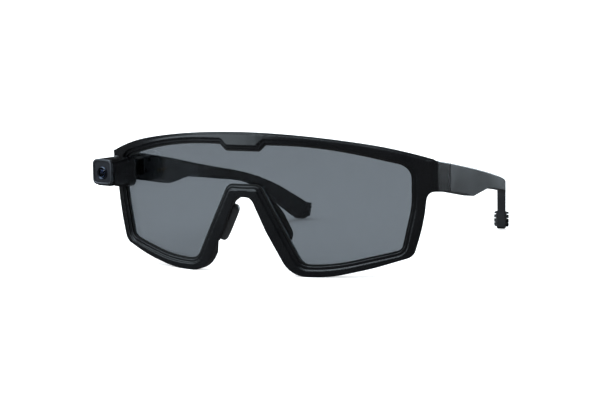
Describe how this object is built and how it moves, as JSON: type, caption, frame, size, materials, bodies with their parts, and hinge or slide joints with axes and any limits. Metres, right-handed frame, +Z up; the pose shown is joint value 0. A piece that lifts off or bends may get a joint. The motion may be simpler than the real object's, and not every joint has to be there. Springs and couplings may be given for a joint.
{
  "type": "smart glasses",
  "caption": "Smart glasses: a smoke shield lens in a wrap-around front, folding temples with ribbed tips, and a camera pod with a record button on the wearer's right.",
  "frame": {"origin": "middle of the nose bridge's underside, halfway through the frame's thickness", "axes": "+Z up, the front faces -Y, the wearer's left side is +X, and the open temples run along +Y"},
  "size_m": [0.1446, 0.154, 0.0559],
  "materials": {
    "frame_plastic": "satin black moulded nylon",
    "lens_tint": "polished smoke-grey polycarbonate",
    "seal_rubber": "matt black silicone",
    "nose_rubber": "soft black silicone, fine matt skin",
    "grip_rubber": "black moulded rubber, ribbed",
    "carrier_plastic": "satin black nylon",
    "hinge_steel": "fine satin",
    "screw_steel": "black oxide steel",
    "core_steel": "sheared spring steel",
    "pod_plastic": "satin black",
    "bezel_metal": "dark anodised, fine bead blast",
    "face_plate_finish": "gloss, blue-grey tint",
    "ring_metal": "turned and anodised, fine rings",
    "camera_glass_clear": "coated cover glass",
    "barrel_black": "matt black anodised",
    "lens_glass": "polished",
    "sensor_package": "ceramic and glass package",
    "board_laminate": "green solder mask",
    "chip_epoxy": "moulded epoxy",
    "button_rubber": "satin black",
    "switch_body": "moulded",
    "wire_jacket": "matt jacket",
    "gold_plate": "gold plated",
    "block_plastic": "moulded",
    "temple_plastic": "satin black moulded nylon",
    "cover_plastic": "fine texture",
    "cell_foil": "laminated foil"
  },
  "bodies": {
    "front": {"front_frame": "frame_plastic", "shield_lens": "lens_tint", "lens_gasket": "seal_rubber", "nose_carrier": "carrier_plastic", "nose_pad_left": "nose_rubber", "nose_pad_right": "nose_rubber", "front_leaf_left": "hinge_steel", "front_leaf_right": "hinge_steel", "hinge_pin_left": "hinge_steel", "hinge_pin_right": "hinge_steel", "front_screws_left": "screw_steel", "front_screws_right": "screw_steel", "pod_bezel": "bezel_metal", "face_plate": "face_plate_finish", "pod_gasket": "seal_rubber", "lens_ring": "ring_metal", "camera_glass": "camera_glass_clear", "lens_barrel": "barrel_black", "front_element": "lens_glass", "rear_element": "lens_glass", "image_sensor": "sensor_package", "camera_board": "board_laminate", "pod_housing": "pod_plastic", "button_switch": "switch_body", "pod_screws": "screw_steel", "camera_harness": "wire_jacket", "clip_bracket": "pod_plastic", "bracket_screws": "screw_steel", "pin_block": "block_plastic", "contact_pins": "gold_plate"},
    "left_temple": {"temple_arm_left": "temple_plastic", "temple_core_left": "core_steel", "tip_grip_left": "grip_rubber", "temple_leaf_left": "hinge_steel", "temple_screws_left": "screw_steel"},
    "right_temple": {"temple_arm_right": "temple_plastic", "temple_core_right": "core_steel", "tip_grip_right": "grip_rubber", "temple_leaf_right": "hinge_steel", "temple_screws_right": "screw_steel", "temple_cover": "cover_plastic", "cover_screws": "screw_steel", "charge_contacts": "gold_plate", "main_board": "board_laminate", "board_chips": "chip_epoxy", "battery_cell": "cell_foil", "contact_pads": "gold_plate", "temple_lead": "wire_jacket"},
    "button": {"record_button": "button_rubber"}
  },
  "joints": [
    {"name": "left_temple_hinge", "type": "hinge", "parent": "front", "child": "left_temple", "pos_m": [0.0666, 0.0332, 0.0064], "axis": [0, 0, 1], "range_deg": [0, 88]},
    {"name": "right_temple_hinge", "type": "hinge", "parent": "front", "child": "right_temple", "pos_m": [-0.0666, 0.0332, 0.0064], "axis": [0, 0, -1], "range_deg": [0, 78]},
    {"name": "record_button_travel", "type": "slide", "parent": "front", "child": "button", "axis": [0, 0, -1], "range_m": [0, 0.0004], "stiffness_N_per_m": 800, "springref_m": -0.0003}
  ]
}
